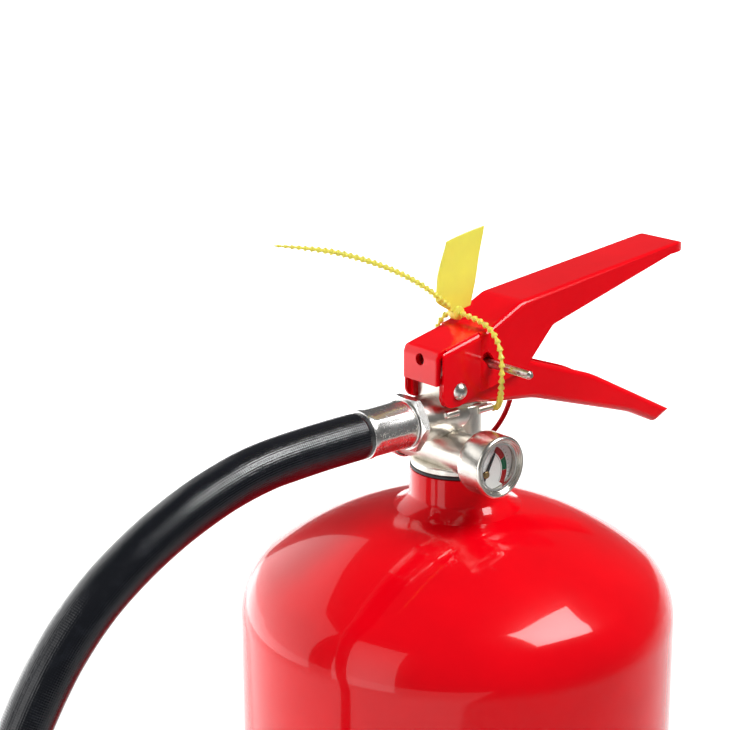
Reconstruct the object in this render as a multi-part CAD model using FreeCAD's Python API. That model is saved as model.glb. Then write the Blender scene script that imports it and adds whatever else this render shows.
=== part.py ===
"""Stored-pressure dry powder fire extinguisher, 160 mm cylinder, squeeze-grip valve.

Millimetres, +Z up, origin at the bottom centre of the cylinder.  The lever and the
carrying handle point along +X, the hose outlet along -X and the pressure gauge along -Y.
Each sub-part is one function that returns a shape, and one STEP file in parts/.
"""
import FreeCAD, Part
import math
import os

V = FreeCAD.Vector
X_AXIS, Y_AXIS, Z_AXIS = V(1, 0, 0), V(0, 1, 0), V(0, 0, 1)

# ---- cylinder -------------------------------------------------------------
CYL_R = 80.0            # outside radius of the pressure vessel
SHELL_T = 1.5           # wall of the vessel
NECK_Z = 440.0          # face of the valve flange, the datum of every height on the valve
KNUCKLE_R = 25.6        # shoulder radius of the top dome
CROWN_R = 115.7         # crown radius of the top dome
CROWN_Z = NECK_Z - 13.5     # height of the crown on the axis
RING_TOP = -1.2         # top of the neck ring, below the flange by the squeezed O-ring
BOTTOM_KNUCKLE_R = 14.0
BOTTOM_Z = 6.0          # lowest point of the vessel, inside the foot ring
BOTTOM_TURN = 20.0      # degrees by which the bottom knuckle turns up into the dish
MOUTH_R = 15.2          # hole in the dome under the neck ring
NECK_R = 17.7           # outside radius of the neck ring
NECK_BORE_R = 15.0
WELD_R = 24.0           # where the neck ring's weld flare meets the dome
FOOT_R, FOOT_H = 82.0, 26.0     # plastic foot cup
FOOT_FLOOR = 3.0                # thickness of its floor

# ---- valve ------------------------------------------------------------------
FLANGE_R, FLANGE_T = 17.2, 2.5
SPIGOT_R, SPIGOT_L = 14.8, 22.0
COLUMN_R, COLUMN_H = 8.5, 23.4
HEAD_HALF_W = 6.7       # flat-sided head between the handle's cheeks
HEAD_X = (-13.5, 8.0)
HEAD_TOP = 42.0
OUTLET_H = 20.2         # height of the outlet's axis above the neck
OUTLET_R = 8.3
OUTLET_END = -22.3
PORT_R, PORT_END = 6.35, -14.0      # threaded port in the outlet
CROSS_X, CROSS_H, CROSS_R = -8.0, 7.7, 7.4      # cross barrel for the gauge and rear plug
CROSS_Y = (-18.8, 17.9)
PLUG_R, PLUG_END = 8.6, 31.0
LUG_R = 1.5

# ---- stem and spring ----------------------------------------------------------
STEM_TOP = 48.2
STEM_R, PLUNGER_R, PACKING_R = 2.5, 4.0, 4.1
LOWER_BORE_R, CHAMBER_R, SEAT_R = 8.6, 5.6, 4.3
SEAT_H = -2.0           # height of the seat face above the neck
DISC_R, DISC_T, GASKET_T = 7.0, 3.0, 1.5
SPRING_WIRE, SPRING_R, SPRING_TURNS, SPRING_STEPS = 1.1, 5.6, 4, 10
ADAPTER_TOP = -16.0
TUBE_R, TUBE_T, TUBE_END = 7.0, 1.1, 24.0

# ---- lever, handle, pins ---------------------------------------------------------
SHEET_T = 1.6
LEVER_FRONT_W, LEVER_REAR_W = 10.4, 11.4        # half widths outside
LEVER_STEP_X = (1.0, 4.0)                       # where the cheeks step outwards
LEVER_TIP_X = 112.0
HANDLE_W = 8.5                                  # half width outside
HANDLE_TIP_X = 107.5
HANDLE_WEB_X = 10.6                             # the handle's web starts behind the column
PIVOT = (-8.9, 31.0)                           # rivet, X and height above the neck
RIVET_R, RIVET_HEAD_R, RIVET_HEAD_T = 2.0, 3.1, 2.0
ROLL_PIN = (2.5, 29.5)
ROLL_PIN_R, ROLL_PIN_IN = 1.5, 5.2               # each stops short of the packing bore
SAFETY = (5.3, 38.7)                            # safety pin, X and height above the neck
PIN_R, PIN_HOLE_R = 1.5, 1.75
PIN_NEAR, PIN_FAR = -31.5, 18.6
SQUEEZE = 12.0                                  # lever travel in degrees
EYE_R, EYE_WIRE_R = 4.2, 1.3                    # loop bent at the pin's far end
RING_R, RING_WIRE_R = 22.5, 1.0
RING_LEAN = 41.0                                # the pull ring leans on the rear plug
EYE_OFFSET = 0.9                                # ring wire's distance from the eye's centre

# ---- gauge -------------------------------------------------------------------------
GAUGE_R = 11.3
GAUGE_BACK, GAUGE_FRONT = -19.8, -30.9
GAUGE_BACK_R = 9.8
GAUGE_BORE_R = 8.6
DIAL_R, DIAL_Y = 8.45, -27.4
NEEDLE_PIVOT = (-4.8, -2.2)                     # from the gauge's centre
NEEDLE_L, NEEDLE_ZERO = 9.0, 60.0               # needle length, and its angle at zero
LENS_Y = -28.9

# ---- hose -----------------------------------------------------------------------------
HOSE_R, HOSE_BORE_R, HOSE_CORE_R = 8.3, 5.0, 7.3
HEX_AF, HEX_X = 18.8, (-22.7, -26.1)         # hexagon of the hose fitting
FERRULE_X = (-26.2, -46.3)
FERRULE_R, FERRULE_AF = 8.8, 16.8
HOSE_ROUTE = [          # X and Z of the route in the plane Y = 0, from the ferrule's mouth
    (-46.3, 460.2), (-66.0, 460.2), (-98.9, 458.0), (-134.9, 444.2), (-164.6, 423.0),
    (-187.3, 389.0), (-200.5, 349.5), (-199.5, 312.0), (-185.4, 279.0), (-160.8, 252.6),
    (-134.8, 230.8), (-114.8, 203.2), (-104.0, 171.0), (-100.0, 138.5), (-100.0, 112.0)]
NOZZLE_X = HOSE_ROUTE[-1][0]
NOZZLE_TOP = HOSE_ROUTE[-1][1]
NOZZLE_FERRULE_L, NOZZLE_L = 22.0, 58.0
NOZZLE_R, NOZZLE_TIP_R = 10.4, 7.2
CLIP_Z = (58.0, 73.0)
BAND_T = 1.5
ARC_SHARE = 0.45        # how far a route's arc reaches along the shorter of its two runs

# ---- tamper seal ---------------------------------------------------------------------------
STRAP_R = 0.9
STRAP_ROUTE = [         # closed round the lever and handle, heights above the neck
    (3.5, 3.2, 54.6), (3.8, -4.5, 54.2), (3.5, -12.0, 52.4), (2.6, -17.6, 48.4),
    (1.7, -20.3, 42.5), (1.7, -20.4, 36.0), (3.4, -18.3, 29.5), (7.5, -13.5, 23.8),
    (11.6, -7.5, 19.6), (12.6, 0.0, 18.6), (11.6, 7.5, 19.4), (8.0, 12.2, 24.4),
    (4.2, 14.5, 31.0), (2.2, 15.2, 38.5), (2.4, 14.8, 46.5), (3.2, 11.6, 52.6),
    (3.5, 7.6, 54.6)]
TAIL_ROUTE = [(-0.5, 4.5, 57.2), (-9.0, 3.0, 64.0), (-22.0, 1.5, 72.2), (-37.0, 0.8, 79.6),
              (-54.5, 0.4, 86.4), (-71.5, 0.2, 90.8), (-82.0, 0.0, 93.0)]
FLAG_OUTLINE = [(1.1, 54.8), (9.9, 56.0), (13.1, 70.9), (16.1, 85.0), (-2.2, 81.8), (-6.5, 69.4),
                (-7.7, 60.0)]
FLAG_T = 0.8
SOCKET_R = 2.6


def at(x, y, h):
    """A point given by its height above the top of the neck."""
    return V(x, y, NECK_Z + h)


def cylinder(radius, start, end):
    """A round bar from one point to another."""
    return Part.makeCylinder(radius, start.distanceToPoint(end), start, end - start)


def pipe(radius, bore, start, end):
    """A round bar with a bore right through it."""
    over = (end - start).normalize()
    return cylinder(radius, start, end).cut(cylinder(bore, start - over, end + over))


def rounded_face(corners):
    """A flat face whose outline is straight runs, with an arc of the given radius at each corner.

    Each corner is (point, radius); radius 0 keeps it sharp."""
    count = len(corners)
    edges = []
    last = None
    first = None
    for i in range(count):
        before, (here, radius), after = corners[i - 1][0], corners[i], corners[(i + 1) % count][0]
        u, w = (before - here).normalize(), (after - here).normalize()
        half = u.getAngle(w) / 2
        reach = radius / math.tan(half) if radius else 0.0
        start, end = here + u * reach, here + w * reach
        if last is not None and last.distanceToPoint(start) > 1e-6:
            edges.append(Part.LineSegment(last, start).toShape())
        if radius:
            bisector = (u + w).normalize()
            middle = here + bisector * (radius / math.sin(half) - radius)
            edges.append(Part.Arc(start, middle, end).toShape())
        if first is None:
            first = start
        last = end
    if last.distanceToPoint(first) > 1e-6:
        edges.append(Part.LineSegment(last, first).toShape())
    return Part.Face(Part.Wire(edges))


def side_plate(corners, y0, y1):
    """A plate from y0 to y1 with the side outline (x, height, corner radius)."""
    face = rounded_face([(at(x, y0, h), r) for x, h, r in corners])
    return face.extrude(V(0, y1 - y0, 0))


def plan_plate(corners, h0, h1):
    """A plate between two heights with the plan outline (x, y, corner radius)."""
    face = rounded_face([(at(x, y, h0), r) for x, y, r in corners])
    return face.extrude(V(0, 0, h1 - h0))


def turned(corners, base=V(0, 0, 0), axis=Z_AXIS):
    """A body turned about an axis through base, from (radius, distance along axis, corner radius)."""
    side = X_AXIS if abs(axis.x) < 0.5 else Z_AXIS
    face = rounded_face([(base + side * r + axis * d, fillet) for r, d, fillet in corners])
    return face.revolve(base, axis, 360)


def route_points(route):
    """The straight runs and tangent arcs of a route, with the radius of each arc."""
    pieces = []
    radii = []
    last = route[0]
    for before, here, after in zip(route, route[1:], route[2:]):
        u, w = before - here, after - here
        shorter = min(u.Length, w.Length)
        u.normalize()
        w.normalize()
        half = u.getAngle(w) / 2
        reach = ARC_SHARE * shorter
        radius = reach * math.tan(half)
        start, end = here + u * reach, here + w * reach
        middle = here + (u + w).normalize() * (radius / math.sin(half) - radius)
        pieces.append(Part.LineSegment(last, start).toShape())
        pieces.append(Part.Arc(start, middle, end).toShape())
        radii.append(radius)
        last = end
    pieces.append(Part.LineSegment(last, route[-1]).toShape())
    return Part.Wire(pieces), radii


def swept_rod(wire, radius):
    """A round section carried along a wire."""
    edge = wire.Edges[0]
    start = edge.valueAt(edge.FirstParameter)
    section = Part.Wire(Part.Circle(start, edge.tangentAt(edge.FirstParameter), radius).toShape())
    return wire.makePipeShell([section], True, True)


def ring(major, minor, centre, axis):
    """A torus."""
    return Part.makeTorus(major, minor, centre, axis)


# ---- cylinder -------------------------------------------------------------------------
def vessel_solid(inset):
    """The vessel's outer form, or the form of its hollow with inset = wall."""
    wall_r = CYL_R - inset
    crown_r, knuckle_r = CROWN_R - inset, KNUCKLE_R - inset
    crown_c = CROWN_Z - CROWN_R
    knuckle_x = CYL_R - KNUCKLE_R
    rise = math.sqrt((CROWN_R - KNUCKLE_R) ** 2 - knuckle_x ** 2)
    knuckle_z = crown_c + rise
    meet = math.atan2(rise, knuckle_x)

    def on_knuckle(angle):
        return V(knuckle_x + knuckle_r * math.cos(angle), 0, knuckle_z + knuckle_r * math.sin(angle))

    def on_crown(angle):
        return V(crown_r * math.cos(angle), 0, crown_c + crown_r * math.sin(angle))

    bottom_r = BOTTOM_KNUCKLE_R - inset
    bottom_x, bottom_z = CYL_R - BOTTOM_KNUCKLE_R, BOTTOM_Z + BOTTOM_KNUCKLE_R
    turn = math.radians(BOTTOM_TURN)

    def on_bottom(angle):
        return V(bottom_x + bottom_r * math.cos(angle), 0, bottom_z - bottom_r * math.sin(angle))

    foot_turn = math.pi / 2 + turn
    dish_edge = V(bottom_x - BOTTOM_KNUCKLE_R * math.sin(turn), 0,
                  bottom_z - BOTTOM_KNUCKLE_R * math.cos(turn))
    dish_r = dish_edge.x / math.sin(turn)
    dish_c = dish_edge.z - dish_r * math.cos(turn)

    def on_dish(angle):
        return V((dish_r + inset) * math.sin(angle), 0, dish_c + (dish_r + inset) * math.cos(angle))

    half = (meet + math.pi / 2) / 2
    edges = [
        Part.Arc(on_dish(0), on_dish(turn / 2), on_dish(turn)).toShape(),
        Part.Arc(on_bottom(foot_turn), on_bottom(foot_turn / 2), on_bottom(0)).toShape(),
        Part.LineSegment(V(wall_r, 0, bottom_z), V(wall_r, 0, knuckle_z)).toShape(),
        Part.Arc(on_knuckle(0), on_knuckle(meet / 2), on_knuckle(meet)).toShape(),
        Part.Arc(on_crown(meet), on_crown(half), on_crown(math.pi / 2)).toShape(),
        Part.LineSegment(on_crown(math.pi / 2), on_dish(0)).toShape()]
    return Part.Face(Part.Wire(edges)).revolve(V(0, 0, 0), Z_AXIS, 360)


def crown_height(radius):
    return CROWN_Z - CROWN_R + math.sqrt(CROWN_R ** 2 - radius ** 2)


def cylinder_shell():
    mouth = cylinder(MOUTH_R, V(0, 0, NECK_Z - 60), V(0, 0, NECK_Z))
    return vessel_solid(0).cut(vessel_solid(SHELL_T)).cut(mouth)


def neck_ring():
    skirt = crown_height(WELD_R) + 0.2
    lip = crown_height(NECK_BORE_R) + 0.1
    top = NECK_Z + RING_TOP
    flare_top = NECK_Z - 11.0
    middle = V(NECK_R + 2.0, 0, skirt + 1.7)
    corner = [V(NECK_BORE_R, 0, lip), V(NECK_BORE_R, 0, top), V(NECK_R - 0.6, 0, top),
              V(NECK_R, 0, top - 0.6), V(NECK_R, 0, flare_top), V(WELD_R, 0, skirt)]
    edges = [Part.LineSegment(a, b).toShape() for a, b in zip(corner[:4], corner[1:5])]
    edges.append(Part.Arc(corner[4], middle, corner[5]).toShape())
    under = (WELD_R + NECK_BORE_R) / 2
    edges.append(Part.Arc(corner[5], V(under, 0, crown_height(under) + 0.16), corner[0]).toShape())
    return Part.Face(Part.Wire(edges)).revolve(V(0, 0, 0), Z_AXIS, 360)


def foot_cup():
    """Plastic boot with a flat floor, pushed over the bottom of the vessel."""
    inner = CYL_R + 0.1
    gap = BOTTOM_KNUCKLE_R + 0.15
    knuckle_x, knuckle_z = CYL_R - BOTTOM_KNUCKLE_R, BOTTOM_Z + BOTTOM_KNUCKLE_R
    slant = gap * math.tan(math.pi / 8)
    return turned([(0.0, 0, 0), (FOOT_R - 0.6, 0, 1.0), (FOOT_R, FOOT_H - 8, 0), (inner + 0.5, FOOT_H, 0),
                   (inner, FOOT_H - 0.5, 0), (knuckle_x + gap, knuckle_z - slant, 0),
                   (knuckle_x + slant, knuckle_z - gap, 0), (knuckle_x - 6.0, knuckle_z - gap, 0),
                   (knuckle_x - 10.0, FOOT_FLOOR, 0), (0.0, FOOT_FLOOR, 0)])


# ---- valve --------------------------------------------------------------------------------
def lug(x0, x1, y, h, radius):
    """A cast lug along X with a rounded free end at x1."""
    return cylinder(radius, at(x0, y, h), at(x1, y, h)).fuse(Part.makeSphere(radius, at(x1, y, h)))


def across(radius, spot, y0=-20.0, y1=20.0):
    """A bar along Y through a spot (x, height)."""
    return cylinder(radius, at(spot[0], y0, spot[1]), at(spot[0], y1, spot[1]))


def valve_body():
    spigot = cylinder(SPIGOT_R, at(0, 0, -SPIGOT_L), at(0, 0, 0.2))
    flange = turned([(0.0, 0, 0), (FLANGE_R, 0, 0.4), (FLANGE_R, FLANGE_T, 0.8), (0.0, FLANGE_T, 0)],
                    at(0, 0, 0))
    column = turned([(0.0, 0, 0), (COLUMN_R, 0, 0), (COLUMN_R, COLUMN_H, 1.0), (0.0, COLUMN_H, 0)],
                    at(0, 0, 0))
    cross = across(CROSS_R, (CROSS_X, CROSS_H), *CROSS_Y)
    outlet = cylinder(OUTLET_R, at(0, 0, OUTLET_H), at(OUTLET_END, 0, OUTLET_H))
    x0, x1 = HEAD_X
    head = side_plate([(x0, COLUMN_H - 4, 0), (x1, COLUMN_H - 4, 0), (x1, HEAD_TOP, 2.0),
                       (x0 + 3, HEAD_TOP - 2, 2.0), (x0, HEAD_TOP - 6, 1.0)], -HEAD_HALF_W, HEAD_HALF_W)
    body = spigot.multiFuse([flange, column, cross, outlet, head])
    for side in (-1, 1):
        front = lug(-8.0, -13.0, side * 7.9, 22.6, LUG_R)
        rear = lug(2.0, 8.4, side * 7.85, 21.1, LUG_R - 0.1)
        body = body.fuse(front).fuse(rear)
    gauge_end, plug_end = CROSS_Y
    bores = [
        cylinder(LOWER_BORE_R, at(0, 0, -SPIGOT_L - 1), at(0, 0, SEAT_H)),
        cylinder(SEAT_R, at(0, 0, SEAT_H - 1), at(0, 0, 12)),
        cylinder(CHAMBER_R, at(0, 0, 11), at(0, 0, 22.5)),
        cylinder(PACKING_R, at(0, 0, 22), at(0, 0, 37)),
        cylinder(STEM_R + 0.1, at(0, 0, 36), at(0, 0, 50)),
        cylinder(PORT_R, at(PORT_END, 0, OUTLET_H), at(OUTLET_END - 1, 0, OUTLET_H)),
        cylinder(3.6, at(0, 0, OUTLET_H - 1), at(PORT_END - 1, 0, OUTLET_H - 1)),
        across(4.6, (CROSS_X, CROSS_H), gauge_end - 1, gauge_end + 9),
        across(4.6, (CROSS_X, CROSS_H), plug_end - 9, plug_end + 1),
        across(1.2, (CROSS_X, CROSS_H), gauge_end, plug_end),
        cylinder(0.65, at(-7.8, 0, CROSS_H), at(-7.8, 0, SEAT_H - 1)),
        across(RIVET_R + 0.05, PIVOT), across(PIN_HOLE_R, SAFETY),
        across(ROLL_PIN_R, ROLL_PIN, -20, -ROLL_PIN_IN), across(ROLL_PIN_R, ROLL_PIN, ROLL_PIN_IN, 20)]
    for bore in bores:
        body = body.cut(bore)
    return body


def neck_o_ring():
    inner, outer = SPIGOT_R + 0.1, NECK_R - 0.1
    return turned([(inner, RING_TOP, 0.3), (outer, RING_TOP, 0.5), (outer, 0, 0.5), (inner, 0, 0.3)],
                  at(0, 0, 0))


def rear_plug():
    y0, y1 = CROSS_Y[1], PLUG_END
    axis_point = at(CROSS_X, 0, CROSS_H)
    return turned([(0.0, y0 - 8.5, 0), (4.5, y0 - 8.5, 0), (4.5, y0, 0), (PLUG_R, y0, 0.4),
                   (PLUG_R, y1 - 2.4, 0), (PLUG_R - 2.2, y1, 0.6), (3.0, y1, 0), (3.0, y1 - 4, 0),
                   (0.0, y1 - 4, 0)], axis_point, Y_AXIS)


def valve_stem():
    low = SEAT_H - 0.05 - GASKET_T - DISC_T
    profile = [(0.0, low, 0), (DISC_R, low, 0.4), (DISC_R, low + DISC_T, 0.4), (2.2, low + DISC_T, 0),
               (2.2, 24.4, 0), (PLUNGER_R, 24.4, 0), (PLUNGER_R, 26.0, 0), (3.0, 26.0, 0),
               (3.0, 28.2, 0), (PLUNGER_R, 28.2, 0), (PLUNGER_R, 30.0, 0), (3.0, 30.0, 0),
               (3.0, 32.2, 0), (PLUNGER_R, 32.2, 0), (PLUNGER_R, 34.0, 0), (STEM_R, 34.8, 0),
               (STEM_R, STEM_TOP, 1.6), (0.0, STEM_TOP, 0)]
    return turned(profile, at(0, 0, 0))


def stem_o_rings():
    rings = [turned([(3.05, h, 0.4), (PLUNGER_R + 0.04, h, 0.4), (PLUNGER_R + 0.04, h + 2.0, 0.4),
                     (3.05, h + 2.0, 0.4)], at(0, 0, 0)) for h in (26.1, 30.1)]
    return Part.makeCompound(rings)


def seat_gasket():
    top = SEAT_H - 0.05
    return pipe(DISC_R - 0.3, 2.25, at(0, 0, top - GASKET_T), at(0, 0, top))


def stem_spring():
    bottom, top = ADAPTER_TOP + 0.05, SEAT_H - 0.1 - GASKET_T - DISC_T
    height = top - bottom - SPRING_WIRE
    steps = SPRING_TURNS * SPRING_STEPS
    turn = 2 * math.pi / SPRING_STEPS
    route = [at(SPRING_R * math.cos(i * turn), SPRING_R * math.sin(i * turn),
                bottom + SPRING_WIRE / 2 + height * i / steps) for i in range(steps + 1)]
    wire, radii = route_points(route)
    return swept_rod(wire, SPRING_WIRE / 2)


def tube_adapter():
    low = -SPIGOT_L - 8.0
    return turned([(TUBE_R - TUBE_T - 0.4, low, 0), (LOWER_BORE_R + 1.6, low, 0.6),
                   (LOWER_BORE_R + 1.6, -SPIGOT_L - 0.05, 0), (LOWER_BORE_R, -SPIGOT_L - 0.05, 0),
                   (LOWER_BORE_R, ADAPTER_TOP, 0.4), (3.6, ADAPTER_TOP, 0), (3.6, low + 9, 0),
                   (TUBE_R - TUBE_T - 0.4, low + 7, 0)], at(0, 0, 0))


def dip_tube():
    top = NECK_Z - SPIGOT_L - 8.0
    tube = pipe(TUBE_R, TUBE_R - TUBE_T, V(0, 0, TUBE_END), V(0, 0, top))
    notch = Part.makeBox(40, 40, 12, V(-20, -20, -12))
    notch.rotate(V(0, 0, 0), Y_AXIS, 30)
    notch.translate(V(0, 0, TUBE_END + 4))
    return tube.cut(notch)


# ---- gauge -----------------------------------------------------------------------------------
def gauge_base():
    return at(CROSS_X, 0, CROSS_H)


def gauge_case():
    front, back = GAUGE_FRONT, GAUGE_BACK
    return turned([(1.6, back, 0), (GAUGE_BACK_R, back, 1.2), (GAUGE_R, back - 6.0, 5.5),
                   (GAUGE_R, front + 1.0, 0), (GAUGE_R - 0.7, front, 0), (GAUGE_R - 1.6, front, 0),
                   (GAUGE_R - 2.0, front + 0.6, 0), (GAUGE_R - 2.3, front + 0.6, 0),
                   (GAUGE_R - 2.5, front + 1.2, 0), (GAUGE_BORE_R, front + 1.2, 0),
                   (GAUGE_BORE_R, back - 1.6, 0), (1.6, back - 1.6, 0)], gauge_base(), Y_AXIS)


def gauge_socket():
    back = GAUGE_BACK
    return turned([(0.6, back + 8.4, 0), (4.5, back + 8.4, 0), (4.5, back + 0.9, 0), (7.0, back + 0.9, 0),
                   (7.0, back + 0.05, 0), (1.5, back + 0.05, 0), (1.5, back - 1.7, 0),
                   (2.8, back - 1.7, 0), (2.8, back - 2.6, 0), (0.6, back - 2.6, 0)],
                  gauge_base(), Y_AXIS)


def gauge_dial():
    base = gauge_base()
    disc = cylinder(DIAL_R, base + V(0, DIAL_Y + 0.5, 0), base + V(0, DIAL_Y, 0))
    px, pz = NEEDLE_PIVOT
    hole = cylinder(1.0, base + V(px, DIAL_Y - 1, pz), base + V(px, DIAL_Y + 2, pz))
    return disc.cut(hole)


def gauge_lens():
    return turned([(0.0, LENS_Y, 0), (GAUGE_BORE_R - 0.05, LENS_Y, 0.2),
                   (GAUGE_BORE_R - 0.05, LENS_Y - 0.8, 0.2), (0.0, LENS_Y - 0.8, 0)],
                  gauge_base(), Y_AXIS)


def lens_ring():
    front = GAUGE_FRONT + 1.25
    return pipe(GAUGE_BORE_R - 0.05, GAUGE_BORE_R - 0.7, gauge_base() + V(0, LENS_Y - 0.85, 0),
                gauge_base() + V(0, front - 0.05, 0))


def needle_point():
    return gauge_base() + V(NEEDLE_PIVOT[0], 0, NEEDLE_PIVOT[1])


def gauge_needle():
    pivot = needle_point()
    y = DIAL_Y - 0.6
    outline = [(-2.4, -0.7), (-2.4, 0.7), (NEEDLE_L - 2.0, 0.45), (NEEDLE_L, 0.0), (NEEDLE_L - 2.0, -0.45)]
    face = rounded_face([(V(a, y, b), 0) for a, b in outline])
    blade = face.extrude(V(0, -0.3, 0)).cut(cylinder(0.62, V(0, y + 1, 0), V(0, y - 1, 0)))
    blade.rotate(V(0, 0, 0), Y_AXIS, -NEEDLE_ZERO)
    blade.translate(V(pivot.x, 0, pivot.z))
    return blade


def needle_spindle():
    pivot = needle_point()
    y = DIAL_Y
    return turned([(0.0, 3.0, 0), (0.6, 3.0, 0), (0.6, -0.95, 0), (1.3, -0.95, 0), (1.3, -1.35, 0.3),
                   (0.0, -1.35, 0)], V(pivot.x, y, pivot.z), Y_AXIS)


def bourdon_tube():
    """A flat tube bent to three quarters of a circle behind the dial."""
    base = gauge_base() + V(0, GAUGE_BACK - 3.4, 0)
    outer = cylinder(6.6, base, base + V(0, -1.8, 0))
    loop = outer.cut(cylinder(5.6, base + V(0, 1, 0), base + V(0, -3, 0)))
    loop = loop.cut(Part.makeBox(8, 4, 8, base + V(-8.6, -2.9, -8.6)))
    return loop


# ---- lever and handle ----------------------------------------------------------------------------
LEVER_SIDE = [          # X, height and corner radius, from the front tab over the top to the heel
    (-18.8, 46.0, 3.6), (4.8, 51.3, 12.0), (21.0, 58.8, 9.0), (107.0, 67.9, 4.0),
    (LEVER_TIP_X, 64.2, 0), (101.0, 63.6, 6.0), (36.5, 47.4, 5.0), (22.5, 33.2, 4.0),
    (3.0, 29.4, 6.0), (-9.0, 25.6, 4.0), (-16.8, 25.6, 4.5), (-16.8, 34.2, 0), (-18.8, 34.2, 0)]
HANDLE_SIDE = [         # from the heel along the underside to the tip and back over the rims
    (-15.8, 25.0, 4.5), (1.5, 24.0, 20.0), (12.0, 22.0, 12.0), (31.0, 19.6, 40.0),
    (84.0, 2.8, 40.0), (98.5, -4.2, 3.0), (107.0, -0.5, 0), (62.0, 22.9, 60.0),
    (27.0, 35.4, 20.0), (8.0, 43.6, 4.0), (-6.0, 43.6, 4.0), (-15.8, 36.0, 4.0)]


def lever_rear_plan(inset):
    """Plan outline of the wide rear of the lever, from the step in its cheeks to the rounded tip."""
    front, rear = LEVER_FRONT_W - inset, LEVER_REAR_W - inset
    a, b = LEVER_STEP_X
    tip = LEVER_TIP_X - inset
    half = [(a, front, 0), (b, rear, 0), (tip, rear - 1.0, 8.0 - inset)]
    return half + [(x, -y, r) for x, y, r in reversed(half)]


def lever_form(corners, inset, radius, picks):
    """The lever's outside, or its hollow, with rounded folds: a narrow front and a wide rear."""
    front, rear = LEVER_FRONT_W - inset, LEVER_REAR_W - inset
    narrow = fillet_long_edges(side_plate(corners, -front, front), radius, picks)
    wide = fillet_long_edges(side_plate(corners, -rear, rear), radius, picks)
    before_step = Part.makeBox(LEVER_STEP_X[1] + 30, 2 * front, 90, at(-30, -front, 0))
    return narrow.common(before_step).fuse(wide.common(plan_plate(lever_rear_plan(inset), 0, 90)))


def fillet_long_edges(solid, radius, picks):
    """Round the edges whose middle satisfies picks."""
    edges = [e for e in solid.Edges if picks(e.CenterOfMass) and e.Length > 2.0]
    return solid.makeFillet(radius, edges)


def lever_slot(side):
    """The safety pin's slot in one cheek: an arc about the pivot, as long as the lever's travel."""
    centre = at(PIVOT[0], 0, PIVOT[1])
    dx, dz = SAFETY[0] - PIVOT[0], SAFETY[1] - PIVOT[1]
    reach, start = math.hypot(dx, dz), math.atan2(dz, dx)
    y0, y1 = side * (LEVER_FRONT_W - SHEET_T - 2), side * (LEVER_REAR_W + 2)
    parts = []
    travel = math.radians(SQUEEZE)

    def spot(angle, radius):
        return centre + V(radius * math.cos(angle), y0, radius * math.sin(angle))

    for angle in (start, start + travel):
        parts.append(cylinder(PIN_HOLE_R, spot(angle, reach), spot(angle, reach) + V(0, y1 - y0, 0)))
    low, high, mid = reach - PIN_HOLE_R, reach + PIN_HOLE_R, start + travel / 2
    end = start + travel
    face = Part.Face(Part.Wire([
        Part.Arc(spot(start, low), spot(mid, low), spot(end, low)).toShape(),
        Part.LineSegment(spot(end, low), spot(end, high)).toShape(),
        Part.Arc(spot(end, high), spot(mid, high), spot(start, high)).toShape(),
        Part.LineSegment(spot(start, high), spot(start, low)).toShape()]))
    return face.extrude(V(0, y1 - y0, 0)).multiFuse(parts)


def operating_lever():
    """Pressed channel, open below, whose cheeks step outwards behind the head and whose
    front end is folded down as a tab."""
    outer = lever_form(LEVER_SIDE, 0, 2.4, is_lever_top)
    front, ramp, crest, brow, tip = LEVER_SIDE[:5]
    inner_side = [(front[0] + SHEET_T, front[1] - SHEET_T, 2.0), (ramp[0], ramp[1] - SHEET_T, ramp[2]),
                  (crest[0], crest[1] - SHEET_T, crest[2]), (brow[0] - 0.9, brow[1] - SHEET_T, 1.6),
                  (tip[0] - 2.0, tip[1] - 0.7, 0), (tip[0] - 2.0, 10.0, 0), (front[0] + SHEET_T, 10.0, 0)]
    cavity = lever_form(inner_side, SHEET_T, 0.9, is_cavity_top)
    lever = outer.cut(cavity)
    for side in (-1, 1):
        y0 = min(side * 8.8, side * 14.0)
        lever = lever.cut(Part.makeBox(2.2, 5.2, 40, at(-19.0, y0, 20)))
        slot_y = min(side * 8.7, side * 9.6)
        lever = lever.cut(Part.makeBox(5.0, 0.9, 40, at(-19.4, slot_y, 20)))
        lever = lever.cut(lever_slot(side))
        rivet_hole = cylinder(RIVET_R + 0.08, at(PIVOT[0], side * 7, PIVOT[1]),
                              at(PIVOT[0], side * 14, PIVOT[1]))
        lever = lever.cut(rivet_hole)
    tab_hole = cylinder(2.15, at(-25, 0.0, 42.4), at(-15, 0.0, 42.4))
    return lever.cut(tab_hole)


def is_lever_top(middle):
    """True on the two long folds along the top of the lever."""
    return abs(middle.y) > 7.0 and middle.z - NECK_Z > 45.0 and middle.z - NECK_Z > lever_top(middle.x) - 1.0


def is_cavity_top(middle):
    return (abs(middle.y) > 6.0 and middle.z - NECK_Z > 42.0
            and middle.z - NECK_Z > lever_top(middle.x) - SHEET_T - 1.0)


def lever_top(x):
    """Height of the lever's top above the neck, by straight runs between its corners."""
    runs = [(c[0], c[1]) for c in LEVER_SIDE[:4]]
    for (x0, h0), (x1, h1) in zip(runs, runs[1:]):
        if x <= x1:
            return h0 + (h1 - h0) * (x - x0) / (x1 - x0)
    return runs[-1][1]


def handle_plan(inset):
    half = HANDLE_W - inset
    tip = HANDLE_TIP_X - inset
    corner = 2.4 - inset
    return [(-16.5, half, 0), (tip, half, corner), (tip, -half, corner), (-16.5, -half, 0)]


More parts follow.
